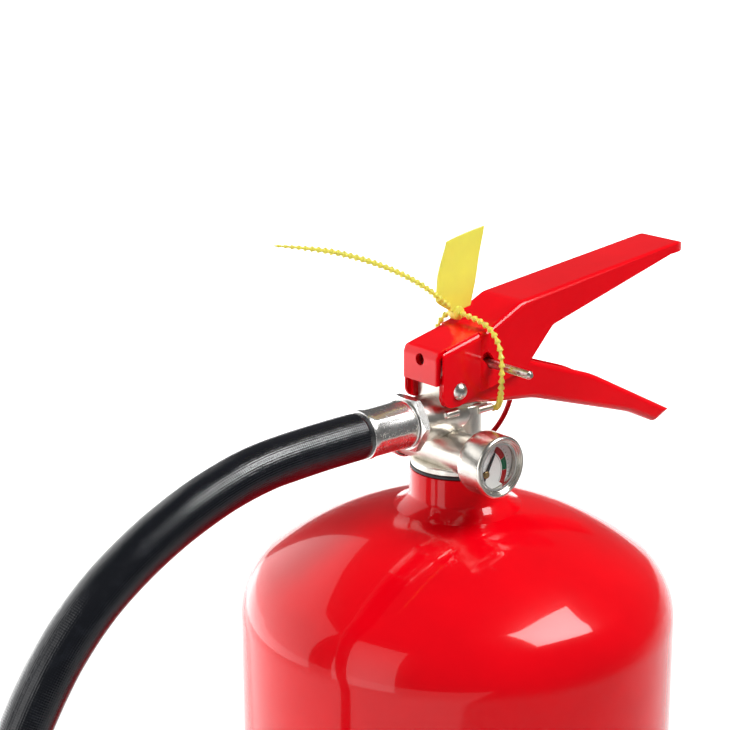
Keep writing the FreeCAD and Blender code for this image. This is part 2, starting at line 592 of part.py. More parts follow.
def carrying_handle():
    """Pressed channel, open above, whose cheeks hold the valve's head at the front."""
    outer = side_plate(HANDLE_SIDE, -HANDLE_W, HANDLE_W)

    def low_fold(middle):
        h = middle.z - NECK_Z
        return abs(middle.y) > HANDLE_W - 0.1 and middle.x > 13.0 and h < handle_bottom(middle.x) + 1.5

    outer = fillet_long_edges(outer, 2.2, low_fold).common(plan_plate(handle_plan(0), -10, 60))
    bend, dip, end = [(c[0], c[1] + SHEET_T, c[2]) for c in HANDLE_SIDE[3:6]]
    inner_side = [(HANDLE_WEB_X, 60.0, 0), (HANDLE_WEB_X, 22.8 + SHEET_T, 0), bend, dip,
                  (end[0] + 1.0, end[1], 0), (end[0] + 20.0, end[1], 0), (end[0] + 20.0, 60.0, 0)]
    cavity = side_plate(inner_side, -20, 20).common(plan_plate(handle_plan(SHEET_T), -10, 60))
    width = HANDLE_W - SHEET_T
    front = Part.makeBox(HANDLE_WEB_X + 20, 2 * width, 80, at(-20, -width, -10))
    handle = outer.cut(cavity).cut(front)
    for x, h, radius in ((PIVOT[0], PIVOT[1], RIVET_R + 0.05), (SAFETY[0], SAFETY[1], PIN_HOLE_R),
                         (ROLL_PIN[0], ROLL_PIN[1], ROLL_PIN_R)):
        handle = handle.cut(cylinder(radius, at(x, -20, h), at(x, 20, h)))
    return handle


def handle_bottom(x):
    """Height of the handle's underside above the neck, by straight runs between its corners."""
    runs = [(c[0], c[1]) for c in HANDLE_SIDE[:6]]
    for (x0, h0), (x1, h1) in zip(runs, runs[1:]):
        if x <= x1:
            return h0 + (h1 - h0) * (x - x0) / (x1 - x0)
    return runs[-1][1]


def lever_rivet():
    base = at(PIVOT[0], 0, PIVOT[1])
    face_y = LEVER_FRONT_W + 0.1
    shank = cylinder(RIVET_R, base + V(0, -face_y, 0), base + V(0, face_y, 0))
    heads = [dome_head(base + V(0, side * face_y, 0), V(0, side, 0)) for side in (-1, 1)]
    return shank.multiFuse(heads)


def dome_head(foot, out):
    """A round rivet head: the cap of a sphere, RIVET_HEAD_T high."""
    radius = (RIVET_HEAD_R ** 2 + RIVET_HEAD_T ** 2) / (2 * RIVET_HEAD_T)
    ball = Part.makeSphere(radius, foot + out * (RIVET_HEAD_T - radius))
    return ball.common(cylinder(radius + 1, foot, foot + out * (RIVET_HEAD_T + 1)))


def handle_pins():
    pins = [cylinder(ROLL_PIN_R, at(ROLL_PIN[0], side * 5.2, ROLL_PIN[1]),
                     at(ROLL_PIN[0], side * HANDLE_W, ROLL_PIN[1])) for side in (-1, 1)]
    return Part.makeCompound(pins)


# ---- safety pin and pull ring -----------------------------------------------------------------------
def lean():
    """Unit vector from the pin towards the leaning pull ring's centre."""
    angle = math.radians(RING_LEAN)
    return V(math.sin(angle), 0, -math.cos(angle))


def eye_centre():
    return at(SAFETY[0], PIN_FAR, SAFETY[1]) + lean() * EYE_R


def ring_hinge():
    return eye_centre() + lean() * EYE_OFFSET


def safety_pin():
    base = at(SAFETY[0], 0, SAFETY[1])
    rod = cylinder(PIN_R, base + V(0, PIN_NEAR + 1.0, 0), base + V(0, PIN_FAR - 1.0, 0))
    nose = Part.makeCone(PIN_R, PIN_R - 0.7, 1.0, base + V(0, PIN_NEAR + 1.0, 0), V(0, -1, 0))
    tail = Part.makeCone(PIN_R, EYE_WIRE_R, 1.0, base + V(0, PIN_FAR - 1.0, 0), Y_AXIS)
    eye = ring(EYE_R, EYE_WIRE_R, eye_centre(), Y_AXIS.cross(lean()))
    cross_hole = cylinder(0.75, base + V(-4, PIN_NEAR + 5.0, 0), base + V(4, PIN_NEAR + 5.0, 0))
    return rod.multiFuse([nose, tail, eye]).cut(cross_hole)


def pull_ring():
    return ring(RING_R, RING_WIRE_R, ring_hinge() + lean() * RING_R, Y_AXIS)


# ---- tamper seal -----------------------------------------------------------------------------------------
def seal_strap():
    wire, radii = route_points([at(*p) for p in STRAP_ROUTE])
    return swept_rod(wire, STRAP_R)


def seal_tail():
    wire, radii = route_points([at(*p) for p in TAIL_ROUTE])
    return swept_rod(wire, STRAP_R)


def seal_flag():
    face = rounded_face([(at(x, 4.4, h), 0.8) for x, h in FLAG_OUTLINE])
    plate = face.extrude(V(0, FLAG_T, 0))
    socket = cylinder(SOCKET_R, at(3.5, 3.3, 54.6), at(3.5, 7.5, 54.6))
    neck = Part.makeBox(5.0, FLAG_T, 2.6, at(1.0, 4.4, 55.4))
    return plate.multiFuse([socket, neck])


# ---- hose --------------------------------------------------------------------------------------------------
def hose_route():
    return [V(x, 0, z) for x, z in HOSE_ROUTE]


def hose():
    wire, radii = route_points(hose_route())
    rod = swept_rod(wire, HOSE_R)
    print("hose arc radii", [round(r, 1) for r in radii])
    print("hose length", round(wire.Length, 1), "volume", round(rod.Volume),
          "section times length", round(math.pi * HOSE_R ** 2 * wire.Length))
    core = cylinder(HOSE_CORE_R, at(FERRULE_X[0] - 1.6, 0, OUTLET_H), at(FERRULE_X[1] - 1, 0, OUTLET_H))
    bore = cylinder(HOSE_BORE_R, at(0, 0, OUTLET_H), at(FERRULE_X[1] - 2, 0, OUTLET_H))
    low_core = cylinder(HOSE_CORE_R, V(NOZZLE_X, 0, NOZZLE_TOP + 1),
                        V(NOZZLE_X, 0, NOZZLE_TOP - NOZZLE_FERRULE_L + 1.6))
    low_bore = cylinder(HOSE_BORE_R, V(NOZZLE_X, 0, NOZZLE_TOP + 2), V(NOZZLE_X, 0, NOZZLE_TOP - 40))
    return rod.multiFuse([core, low_core]).cut(bore).cut(low_bore)


def crimped_ferrule(closed, mouth):
    """A sleeve with eight crimped flats and a round collar at its closed end."""
    out = (mouth - closed).normalize()
    sleeve = cylinder(FERRULE_R, closed, mouth)
    flats = Part.makePolygon(octagon(closed, out))
    flats = Part.Face(flats).extrude(mouth - closed)
    collar = cylinder(FERRULE_R, closed, closed + out * 3.0)
    sleeve = sleeve.common(flats).fuse(collar)
    floor = cylinder(5.0, closed - out, closed + out * 3)
    hollow = cylinder(HOSE_CORE_R, closed + out * 1.4, mouth + out)
    return sleeve.cut(floor).cut(hollow).removeSplitter()


def octagon(centre, out):
    """The corners of an octagon FERRULE_AF across its flats, square to out."""
    side = Y_AXIS
    up = out.cross(side)
    reach = FERRULE_AF / 2 / math.cos(math.pi / 8)
    turns = [math.radians(22.5 + 45 * i) for i in range(9)]
    return [centre + side * (reach * math.cos(t)) + up * (reach * math.sin(t)) for t in turns]


def hose_ferrule():
    return crimped_ferrule(at(FERRULE_X[0], 0, OUTLET_H), at(FERRULE_X[1], 0, OUTLET_H))


def hose_fitting():
    """Hexagon with a threaded end that screws into the valve and a barbed tail in the hose."""
    x0, x1 = HEX_X
    reach = HEX_AF / 2 / math.cos(math.pi / 6)
    turns = [math.radians(60 * i) for i in range(7)]
    corners = [at(x0, reach * math.cos(t), OUTLET_H + reach * math.sin(t)) for t in turns]
    prism = Part.Face(Part.makePolygon(corners)).extrude(V(x1 - x0, 0, 0))
    base = at(0, 0, OUTLET_H)
    flat = HEX_AF / 2
    chamfer = turned([(0.0, x0, 0), (flat, x0, 0), (reach, x0 - 0.8, 0), (reach, x1 + 0.8, 0),
                      (flat, x1, 0), (0.0, x1, 0)], base, X_AXIS)
    barbs = []
    for i in range(4):
        barbs += [(4.4, x1 - 2.0 - 4 * i, 0), (4.95, x1 - 4.8 - 4 * i, 0)]
    stem = [(3.3, PORT_END - 0.2, 0), (5.6, PORT_END - 0.2, 0), (PORT_R - 0.05, PORT_END - 1.2, 0),
            (PORT_R - 0.05, x0 - 0.5, 0), (4.4, x0 - 0.5, 0)] + barbs
    stem += [(4.3, x1 - 17.5, 0), (3.3, x1 - 17.5, 0)]
    bore = cylinder(3.3, at(0, 0, OUTLET_H), at(x1 - 30, 0, OUTLET_H))
    return prism.common(chamfer).fuse(turned(stem, base, X_AXIS)).cut(bore)


def hose_gasket():
    return pipe(OUTLET_R - 0.3, PORT_R, at(OUTLET_END - 0.02, 0, OUTLET_H), at(HEX_X[0] + 0.02, 0, OUTLET_H))


def nozzle_ferrule():
    return crimped_ferrule(V(NOZZLE_X, 0, NOZZLE_TOP - NOZZLE_FERRULE_L), V(NOZZLE_X, 0, NOZZLE_TOP))


def nozzle():
    top = NOZZLE_TOP - NOZZLE_FERRULE_L
    foot = top - NOZZLE_L
    profile = [(3.2, top + 18, 0), (4.9, top + 18, 0), (4.4, top + 6, 0), (4.4, top - 0.1, 0),
               (8.6, top - 0.1, 0.6), (NOZZLE_R, top - 4, 1.0), (NOZZLE_R, top - 11, 1.0),
               (9.0, top - 14, 1.0), (9.0, top - 34, 4.0), (NOZZLE_TIP_R, foot + 6, 4.0),
               (NOZZLE_TIP_R + 0.8, foot + 4, 0.5), (NOZZLE_TIP_R + 0.8, foot, 0.6),
               (4.6, foot, 0), (3.2, foot + 8, 0)]
    return turned(profile, V(NOZZLE_X, 0, 0))


def holder_band():
    z0, z1 = CLIP_Z
    return turned([(CYL_R + 0.05, z0, 0.3), (CYL_R + BAND_T, z0, 0.5), (CYL_R + BAND_T, z1, 0.5),
                   (CYL_R + 0.05, z1, 0.3)])


def nozzle_clip():
    """A spring clip on the band, open towards -X, that holds the nozzle."""
    z0, z1 = CLIP_Z
    inner, outer = 9.3, 11.2
    face_x = -(CYL_R + BAND_T + 0.05)
    jaw = pipe(outer, inner, V(NOZZLE_X, 0, z0), V(NOZZLE_X, 0, z1))
    mouth = Part.makeBox(20, 11.0, 40, V(NOZZLE_X - 22, -5.5, z0 - 10))
    pad = Part.makeBox(7.6, 9.0, z1 - z0, V(face_x - 7.6, -4.5, z0))
    grip = cylinder(inner, V(NOZZLE_X, 0, z0 - 1), V(NOZZLE_X, 0, z1 + 1))
    lips = [cylinder(1.3, V(NOZZLE_X - 8.6, s * 6.4, z0), V(NOZZLE_X - 8.6, s * 6.4, z1)) for s in (-1, 1)]
    clip = jaw.cut(mouth).fuse(pad).cut(grip).multiFuse(lips).cut(grip)
    curve = cylinder(CYL_R + BAND_T + 0.05, V(0, 0, z0 - 1), V(0, 0, z1 + 1))
    return clip.cut(curve)


PARTS = {
    "cylinder_shell": cylinder_shell, "neck_ring": neck_ring, "foot_cup": foot_cup,
    "valve_body": valve_body, "neck_o_ring": neck_o_ring, "rear_plug": rear_plug,
    "valve_stem": valve_stem, "stem_o_rings": stem_o_rings, "seat_gasket": seat_gasket,
    "stem_spring": stem_spring, "tube_adapter": tube_adapter, "dip_tube": dip_tube,
    "gauge_case": gauge_case, "gauge_socket": gauge_socket, "gauge_dial": gauge_dial,
    "gauge_lens": gauge_lens, "lens_ring": lens_ring, "gauge_needle": gauge_needle,
    "needle_spindle": needle_spindle, "bourdon_tube": bourdon_tube,
    "operating_lever": operating_lever, "carrying_handle": carrying_handle,
    "lever_rivet": lever_rivet, "handle_pins": handle_pins, "safety_pin": safety_pin,
    "pull_ring": pull_ring, "seal_strap": seal_strap, "seal_tail": seal_tail,
    "seal_flag": seal_flag, "hose_fitting": hose_fitting,
    "hose_gasket": hose_gasket, "hose_ferrule": hose_ferrule, "hose": hose,
    "nozzle_ferrule": nozzle_ferrule, "nozzle": nozzle, "holder_band": holder_band,
    "nozzle_clip": nozzle_clip}


def main():
    os.makedirs("parts", exist_ok=True)
    for name, make in PARTS.items():
        shape = make()
        if not shape.isValid():
            print("not valid:", name)
        shape.exportStep("parts/" + name + ".step")
        print(name, "solids", len(shape.Solids), "volume", round(shape.Volume, 1))
    hinge = ring_hinge()
    print("ring hinge", [round(c, 3) for c in hinge])


main()
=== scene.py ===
"""A dry powder fire extinguisher dressed for looks: one operator for each group of pieces, one for
the studio, all listed in a sidebar panel.

Lengths are metres in the part's own frame: +Z up, the levers towards +X, the hose outlet towards -X
and the pressure gauge towards -Y.  Heights on the valve are counted from NECK, its seating face.
"""
import math

import bpy
import numpy as np
from bpy.props import FloatProperty, FloatVectorProperty, PointerProperty
from mathutils import Matrix, Vector


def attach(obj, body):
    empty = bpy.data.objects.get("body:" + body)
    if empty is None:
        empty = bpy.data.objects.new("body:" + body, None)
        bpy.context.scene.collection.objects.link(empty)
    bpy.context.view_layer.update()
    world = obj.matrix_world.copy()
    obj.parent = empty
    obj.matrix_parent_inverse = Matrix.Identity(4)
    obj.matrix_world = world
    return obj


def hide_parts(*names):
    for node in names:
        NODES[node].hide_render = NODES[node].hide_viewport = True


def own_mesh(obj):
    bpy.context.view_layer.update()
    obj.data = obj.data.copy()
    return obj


bl_info = {
    "name": "Powder Fire Extinguisher",
    "version": (1, 0, 0),
    "blender": (4, 2, 0),
    "location": "View3D > Sidebar > Extinguisher",
    "description": "Builds the surfaces and finishes of a squeeze-grip powder extinguisher",
    "category": "Add Mesh",
}

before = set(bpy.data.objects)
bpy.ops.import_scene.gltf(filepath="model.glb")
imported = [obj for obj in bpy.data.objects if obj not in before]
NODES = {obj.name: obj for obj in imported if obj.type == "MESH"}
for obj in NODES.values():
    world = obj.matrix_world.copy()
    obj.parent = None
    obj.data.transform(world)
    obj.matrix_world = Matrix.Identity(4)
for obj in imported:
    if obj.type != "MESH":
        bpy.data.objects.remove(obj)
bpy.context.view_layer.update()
MM = 0.001
NECK = 0.440

# ---- sizes shared by several pieces, millimetres -------------------------------------------
CYL_R = 80.0
CROWN_Z, CROWN_R, KNUCKLE_R = 426.5, 115.7, 25.6
BOTTOM_Z, BOTTOM_KNUCKLE_R = 6.0, 14.0
DISH = [(0.0, 17.6), (30.0, 15.3), (61.0, 6.9)]         # radius and height of the bottom, middle outwards
NECK_R, NECK_TOP, NECK_BORE, NECK_LOW = 17.7, 438.8, 15.0, 424.9
WELD_R, WELD_SINK, FLARE_TOP = 26.3, 0.3, 429.0         # the neck's skirt, whose rim sinks into the crown
CROSS_X, CROSS_Z = -8.0, 447.7
GAUGE_R, GAUGE_FRONT, GAUGE_BACK = 11.3, -30.9, -19.8
GAUGE_WALL, GAUGE_HOLE, GAUGE_FLOOR = 2.7, 1.6, 1.6
DIAL_PIVOT = (-12.8, 445.5)
DIAL_BAND, DIAL_TICKS, DIAL_RIM = (8.4, 10.7), (11.2, 11.9), (7.85, 7.95)    # distances from the pivot
GREEN_SECTOR, RED_SECTORS, TICK_STEP = (-2.0, 25.0), ((25.6, 59.0), (-32.0, -2.6)), 7.6     # degrees
HOSE_R, HOSE_LAP = 8.3, 22.0
SLEEVE_R, SLEEVE_BORE, SLEEVE_L, NOZZLE_SLEEVE_L = 8.8, 7.3, 20.1, 22.0
TAIL_HOLE, SLEEVE_FLOOR, CRIMPS, CRIMP_DEPTH = 5.0, 1.4, 8, 0.26
HOSE_ROUTE = [
    (-46.3, 460.2), (-66.0, 460.2), (-98.9, 458.0), (-134.9, 444.2), (-164.6, 423.0),
    (-187.3, 389.0), (-200.5, 349.5), (-199.5, 312.0), (-185.4, 279.0), (-160.8, 252.6),
    (-134.8, 230.8), (-114.8, 203.2), (-104.0, 171.0), (-100.0, 138.5), (-100.0, 112.0)]
STRAP_ROUTE = [
    (3.5, 3.2, 54.6), (3.8, -4.5, 54.2), (3.5, -12.0, 52.4), (2.6, -17.6, 48.4),
    (1.7, -20.3, 42.5), (1.7, -20.4, 36.0), (3.4, -18.3, 29.5), (7.5, -13.5, 23.8),
    (11.6, -7.5, 19.6), (12.6, 0.0, 18.6), (11.6, 7.5, 19.4), (8.0, 12.2, 24.4),
    (4.2, 14.5, 31.0), (2.2, 15.2, 38.5), (2.4, 14.8, 46.5), (3.2, 11.6, 52.6),
    (3.5, 7.6, 54.6)]
TAIL_ROUTE = [(-0.5, 4.5, 57.2), (-9.0, 3.0, 64.0), (-22.0, 1.5, 72.2), (-37.0, 0.8, 79.6),
              (-54.5, 0.4, 86.4), (-71.5, 0.2, 90.8), (-82.0, 0.0, 93.0)]
BEAD_ROOT, BEAD_RISE, BEAD_CLIMB, BEAD_DROP = 0.58, 0.66, 0.62, 0.14    # the last two are shares of a pitch
SEAL_SOCKET = (3.5, 5.4, 54.6)
TAG_LEFT = ([0, 0.2, 0.5, 1], [(1.4, 54.9), (-7.5, 60.2), (-6.4, 69.4), (-2.3, 81.6)])
TAG_RIGHT = ([0, 0.5, 1], [(9.7, 56.2), (13.0, 70.9), (15.9, 84.8)])    # shares of the height, and corners
TAG_Y, TAG_WALL, TAG_RIM = 4.7, 0.7, 0.2
SPRING_LOW, SPRING_HIGH, SPRING_R, SPRING_WIRE, SPRING_TURNS = 424.05, 433.4, 5.6, 1.1, 4


class ExtinguisherLook(bpy.types.PropertyGroup):
    paint: FloatVectorProperty(
        name="Paint", description="Colour of the powder coat", subtype="COLOR",
        default=(0.84, 0.0, 0.006), min=0.0, max=1.0)
    rubber: FloatVectorProperty(
        name="Hose rubber", description="Colour of the hose cover", subtype="COLOR",
        default=(0.004, 0.005, 0.008), min=0.0, max=1.0)
    seal: FloatVectorProperty(
        name="Seal", description="Colour of the tamper seal's plastic", subtype="COLOR",
        default=(0.93, 0.84, 0.13), min=0.0, max=1.0)
    peel: FloatProperty(
        name="Orange peel", description="Wavelength of the paint's slow ripple",
        default=0.009, unit="LENGTH")
    cloth_pitch: FloatProperty(
        name="Cloth pitch", description="Spacing of the wrapping cloth's print on the hose",
        default=0.0016, unit="LENGTH")
    bead_pitch: FloatProperty(
        name="Bead pitch", description="Spacing of the beads along the seal's strap",
        default=0.0029, unit="LENGTH")


def look():
    return bpy.context.scene.extinguisher


# ---- shader helpers ---------------------------------------------------------------------------
class Wire:
    """A socket or a number; arithmetic on it adds Math nodes to its finish."""

    def __init__(self, finish, socket):
        self.finish, self.socket = finish, socket

    def math(self, operation, *others, swap=False):
        values = [self, *others]
        if swap:
            values.reverse()
        node = self.finish.node("ShaderNodeMath", {"operation": operation}, dict(enumerate(values)))
        return Wire(self.finish, node.outputs[0])

    def __add__(self, other):
        return self.math("ADD", other)

    def __sub__(self, other):
        return self.math("SUBTRACT", other)

    def __mul__(self, other):
        return self.math("MULTIPLY", other)

    def __truediv__(self, other):
        return self.math("DIVIDE", other)

    def __rsub__(self, other):
        return self.math("SUBTRACT", other, swap=True)

    __radd__, __rmul__ = __add__, __mul__

    def above(self, edge, soft):
        """0 below edge, 1 above edge + soft."""
        return ((self - edge) / soft).clamped()

    def clamped(self):
        node = self.finish.node("ShaderNodeClamp", {}, {"Value": self})
        return Wire(self.finish, node.outputs[0])

    def within(self, low, high, soft):
        """1 between low and high, falling to 0 over soft outside them."""
        return self.above(low - soft, soft) * (1 - self.above(high, soft))


class Finish:
    """One material and the Principled shader at its end."""

    def __init__(self, name, **fixed):
        self.material = bpy.data.materials.new(name)
        self.material.use_nodes = True
        self.tree = self.material.node_tree
        self.shader = next(n for n in self.tree.nodes if n.type == "BSDF_PRINCIPLED")
        for socket, value in fixed.items():
            self.shader.inputs[socket.replace("_", " ")].default_value = value

    def node(self, kind, settings=None, inputs=None):
        """Adds one node: settings first, then each input's value or link."""
        made = self.tree.nodes.new(kind)
        for key, value in (settings or {}).items():
            setattr(made, key, value)
        for key, value in (inputs or {}).items():
            if isinstance(value, Wire):
                self.tree.links.new(value.socket, made.inputs[key])
            else:
                made.inputs[key].default_value = value
        return made

    def wire(self, node, output=0):
        return Wire(self, node.outputs[output])

    def place(self, kind="Object"):
        return self.wire(self.node("ShaderNodeTexCoord"), kind)

    def axes(self, kind="Object"):
        split = self.node("ShaderNodeSeparateXYZ", {}, {"Vector": self.place(kind)})
        return [self.wire(split, i) for i in range(3)]

    def stretched(self, scale, kind="Object"):
        """The piece's coordinates times a scale along each axis."""
        return self.wire(self.node("ShaderNodeMapping", {}, {"Vector": self.place(kind), "Scale": scale}))

    def noise(self, size, detail=3.0, where=None, rough=0.5):
        """Noise between about 0 and 1 whose blotches are about size metres across."""
        inputs = {"Vector": where or self.place(), "Scale": 1.0 / size, "Detail": detail, "Roughness": rough}
        return self.wire(self.node("ShaderNodeTexNoise", {}, inputs))

    def mix(self, factor, one, other):
        """The first colour where factor is 0, the other where it is 1."""
        node = self.node("ShaderNodeMix", {"data_type": "RGBA"}, {0: factor, 6: rgba(one), 7: rgba(other)})
        return self.wire(node, 2)

    def bump(self, height, distance, strength=1.0, normal=None):
        inputs = {"Height": height, "Distance": distance, "Strength": strength}
        if normal is not None:
            inputs["Normal"] = normal
        return self.wire(self.node("ShaderNodeBump", {}, inputs))

    def set(self, socket, value):
        self.tree.links.new(value.socket, self.shader.inputs[socket])


def rgba(colour):
    return colour if isinstance(colour, Wire) else (*colour[:3], 1.0)


# ---- finishes ---------------------------------------------------------------------------------
def powder_coat(name, colour, peel, coat=0.7):
    """Baked gloss paint: slow orange peel, fine tooth, faint density changes and dust in the gloss."""
    f = Finish(name, Coat_Roughness=0.035, Coat_IOR=1.40, Specular_IOR_Level=0.08)
    f.shader.inputs["Coat Weight"].default_value = coat
    deep = [c * 0.86 for c in colour]
    cloudy = f.noise(0.045, 4.0)
    f.set("Base Color", f.mix(cloudy.above(0.35, 0.3), deep, colour))
    f.set("Roughness", f.noise(0.012, 5.0) * 0.07 + 0.17)
    slow = f.bump(f.noise(peel, 1.0), 0.00018, 0.5)
    f.set("Normal", f.bump(f.noise(0.0011, 2.0), 0.00002, 0.35, slow))
    return f


def plated(name, colour, stain, rough, grain, depth=None, spread=0.12):
    """Plated metal: cloudy roughness, darker stain in the lows and, given a depth, fine cast grain."""
    f = Finish(name, Metallic=1.0)
    low = f.noise(0.006, 6.0, rough=0.65)
    fine = f.noise(grain, 4.0, rough=0.6)
    f.set("Base Color", f.mix(low.above(0.38, 0.3), stain, colour))
    f.set("Roughness", low * spread + fine * 0.08 + rough)
    if depth:
        f.set("Normal", f.bump(fine, depth, 0.6))
    return f


def cast_nickel():
    """Nickel on a sand casting: pitted grain, tumbled high spots and a slow waviness."""
    f = plated("cast nickel", (0.80, 0.765, 0.70), (0.66, 0.63, 0.57), 0.20, 0.0009)
    pits = f.noise(0.0006, 3.0).above(0.64, 0.1)
    wavy = f.bump(f.noise(0.006, 1.0), 0.0002, 0.4)
    first = f.bump(pits * -1.0, 0.00004, 0.4, wavy)
    f.set("Normal", f.bump(f.noise(0.0012, 4.0, rough=0.6), 0.00006, 0.45, first))
    return f


def bright_zinc():
    """Bright zinc plate: drawing lines along X, shallow dents and mottled passivation."""
    f = plated("bright zinc", (0.84, 0.83, 0.81), (0.75, 0.74, 0.72), 0.16, 0.0012)
    lines = f.noise(0.0012, 3.0, f.stretched((0.12, 1.0, 1.0)))
    dents = f.bump(f.noise(0.0035, 1.0, f.stretched((0.35, 1.0, 1.0))), 0.00004, 0.5)
    f.set("Normal", f.bump(lines, 0.000008, 0.5, dents))
    return f


def turned_brass():
    return plated("turned brass", (0.72, 0.50, 0.22), (0.45, 0.29, 0.12), 0.20, 0.0008, 0.00002)


def drawn_steel(name, colour, stain):
    """Plain wire and rod: drawing lines along Y, tarnish in patches."""
    f = Finish(name, Metallic=1.0)
    lines = f.noise(0.0005, 3.0, f.stretched((1.0, 0.04, 1.0)))
    patches = f.noise(0.003, 5.0, rough=0.65)
    f.set("Base Color", f.mix(patches.above(0.5, 0.18), colour, stain))
    f.set("Roughness", lines * 0.12 + patches * 0.16 + 0.16)
    f.set("Normal", f.bump(lines, 0.00002, 0.5))
    return f


def hose_rubber(colour, pitch):
    """Black cover rubber printed by its wrapping cloth, with slow lap waves and small dents.

    U runs along the hose and V round it, both in metres."""
    f = Finish("hose rubber", Specular_IOR_Level=0.55)
    along, around, _ = f.axes("UV")
    wrap = (along * (2 * math.pi / (HOSE_LAP * MM)) + around * (1.2 / HOSE_R / MM)).math("SINE")
    thread = 2 * math.pi / pitch
    cloth = ((along + around) * thread).math("SINE") * ((along - around) * thread).math("SINE")
    scuff = f.noise(0.006, 5.0, rough=0.6)
    worn = [c * 2.2 + 0.004 for c in colour]
    f.set("Base Color", f.mix(scuff.above(0.55, 0.3), colour, worn))
    f.set("Roughness", scuff * 0.10 + cloth * 0.03 + 0.17)
    slow = f.bump(wrap, 0.00014, 0.5)
    crosswise = f.noise(0.0022, 4.0, f.stretched((0.6, 1.0, 1.0), "UV"), rough=0.6)
    uneven = f.bump(crosswise, 0.00022, 0.7, slow)
    f.set("Normal", f.bump(cloth, 0.00007, 0.45, uneven))
    return f


def soft_rubber():
    f = Finish("seal rubber")
    mark = f.noise(0.002, 4.0)
    f.set("Base Color", f.mix(mark, (0.008, 0.008, 0.009), (0.022, 0.022, 0.024)))
    f.set("Roughness", mark * 0.15 + 0.33)
    f.set("Normal", f.bump(mark, 0.00004, 0.4))
    return f


def moulded(name, colour, rough=0.42, grain=0.0007, depth=0.00006):
    """Moulded plastic: spark-eroded grain, faint flow streaks up the moulding."""
    f = Finish(name)
    skin = f.noise(grain, 2.0)
    flow = f.noise(0.03, 3.0, f.stretched((1.0, 1.0, 0.3)))
    f.set("Base Color", f.mix(flow, [c * 0.85 for c in colour], [min(1.0, c * 1.15) for c in colour]))
    f.set("Roughness", skin * 0.1 + rough)
    f.set("Normal", f.bump(skin, depth, 0.5))
    return f


def seal_plastic(colour):
    """Thin polypropylene: light passes into it, the faces carry mould polish and cloudy streaks."""
    f = Finish("seal plastic", Transmission_Weight=0.22, IOR=1.49, Subsurface_Weight=0.35,
               Subsurface_Scale=0.004)
    f.shader.inputs["Subsurface Radius"].default_value = (1.0, 0.75, 0.15)
    cloudy = f.noise(0.008, 4.0)
    f.set("Base Color", f.mix(cloudy, [c * 0.93 for c in colour], [min(1.0, c * 1.05) for c in colour]))
    f.set("Roughness", cloudy * 0.18 + 0.24)
    f.set("Normal", f.bump(f.noise(0.0025, 3.0), 0.00012, 0.4))
    return f


def gauge_glass():
    f = Finish("gauge glass", Alpha=0.07, Specular_IOR_Level=1.0)
    f.shader.inputs["Base Color"].default_value = (0.05, 0.05, 0.05, 1.0)
    smear = f.noise(0.004, 4.0)
    f.set("Roughness", smear.above(0.55, 0.3) * 0.05 + 0.01)
    return f


def metres(pair):
    return [value * MM for value in pair]


def dial_print():
    """White printed dial: red, green and red sectors and a fine scale, all about the needle's pivot."""
    f = Finish("dial print", Specular_IOR_Level=0.3)
    x, _, z = f.axes()
    dx, dz = x - DIAL_PIVOT[0] * MM, z - DIAL_PIVOT[1] * MM
    far = (dx * dx + dz * dz).math("SQRT")
    angle = dz.math("ARCTAN2", dx) * (180 / math.pi)
    soft, hair, blur = 0.00006, 0.00004, 0.3        # softness of broad edges, fine lines and sector ends
    band = far.within(*metres(DIAL_BAND), soft)
    upper, lower = (angle.within(*sector, blur) for sector in RED_SECTORS)
    white = f.mix(f.noise(0.002, 3.0), (0.90, 0.89, 0.86), (0.96, 0.955, 0.93))
    shade = f.mix(band * angle.within(*GREEN_SECTOR, blur), white, (0.006, 0.115, 0.05))
    shade = f.mix(band * (upper + lower).clamped(), shade, (0.42, 0.010, 0.010))
    beat = (angle * (2 * math.pi / TICK_STEP)).math("COSINE").above(0.955, 0.02)
    ticks = beat * far.within(*metres(DIAL_TICKS), hair) * angle.within(-32.5, 61.0, 0.2)
    rim = far.within(*metres(DIAL_RIM), hair) * angle.within(-32.0, 60.0, blur)
    f.set("Base Color", f.mix((ticks + rim).clamped(), shade, (0.03, 0.03, 0.035)))
    f.set("Roughness", f.noise(0.003, 3.0) * 0.1 + 0.38)
    return f


def floor_finish():
    """Pale floor that glows on its left side, so that the vessel's lower wall mirrors a bright field."""
    f = Finish("pale floor", Emission_Strength=0.75)
    x, y, _ = f.axes()
    lit = (x * -1.0 + y * 0.35).above(0.28, 0.05)
    f.set("Emission Color", f.mix(lit, (0.0, 0.0, 0.0), (1.0, 1.0, 1.0)))
    cloudy = f.noise(0.4, 3.0)
    f.set("Base Color", f.mix(cloudy, (0.86, 0.86, 0.86), (0.88, 0.88, 0.88)))
    f.set("Roughness", cloudy * 0.1 + 0.75)
    return f


# ---- surfaces ---------------------------------------------------------------------------------
def mesh_piece(name, points, faces, finish, uv=None, sharp=None):
    """A mesh object at the origin from an array of points and lists of faces."""
    mesh = bpy.data.meshes.new(name)
    mesh.from_pydata(points.tolist(), [], faces)
    mesh.polygons.foreach_set("use_smooth", np.ones(len(mesh.polygons), dtype=bool))
    if uv is not None:
        layer = mesh.uv_layers.new(name="UVMap")
        layer.data.foreach_set("uv", np.asarray(uv, dtype=np.float32).ravel())
    if sharp is not None:
        mesh.set_sharp_from_angle(angle=math.radians(sharp))
    mesh.materials.append(finish.material)
    mesh.update()
    piece = bpy.data.objects.new(name, mesh)
    bpy.context.scene.collection.objects.link(piece)
    return piece


def grid_faces(rows, columns):
    """Quads of a rows by columns grid whose last column joins the first."""
    i = np.arange(rows - 1)[:, None] * columns
    j = np.arange(columns)[None, :]
    k = (j + 1) % columns
    return np.stack([i + j, i + k, i + k + columns, i + j + columns], axis=-1).reshape(-1, 4)


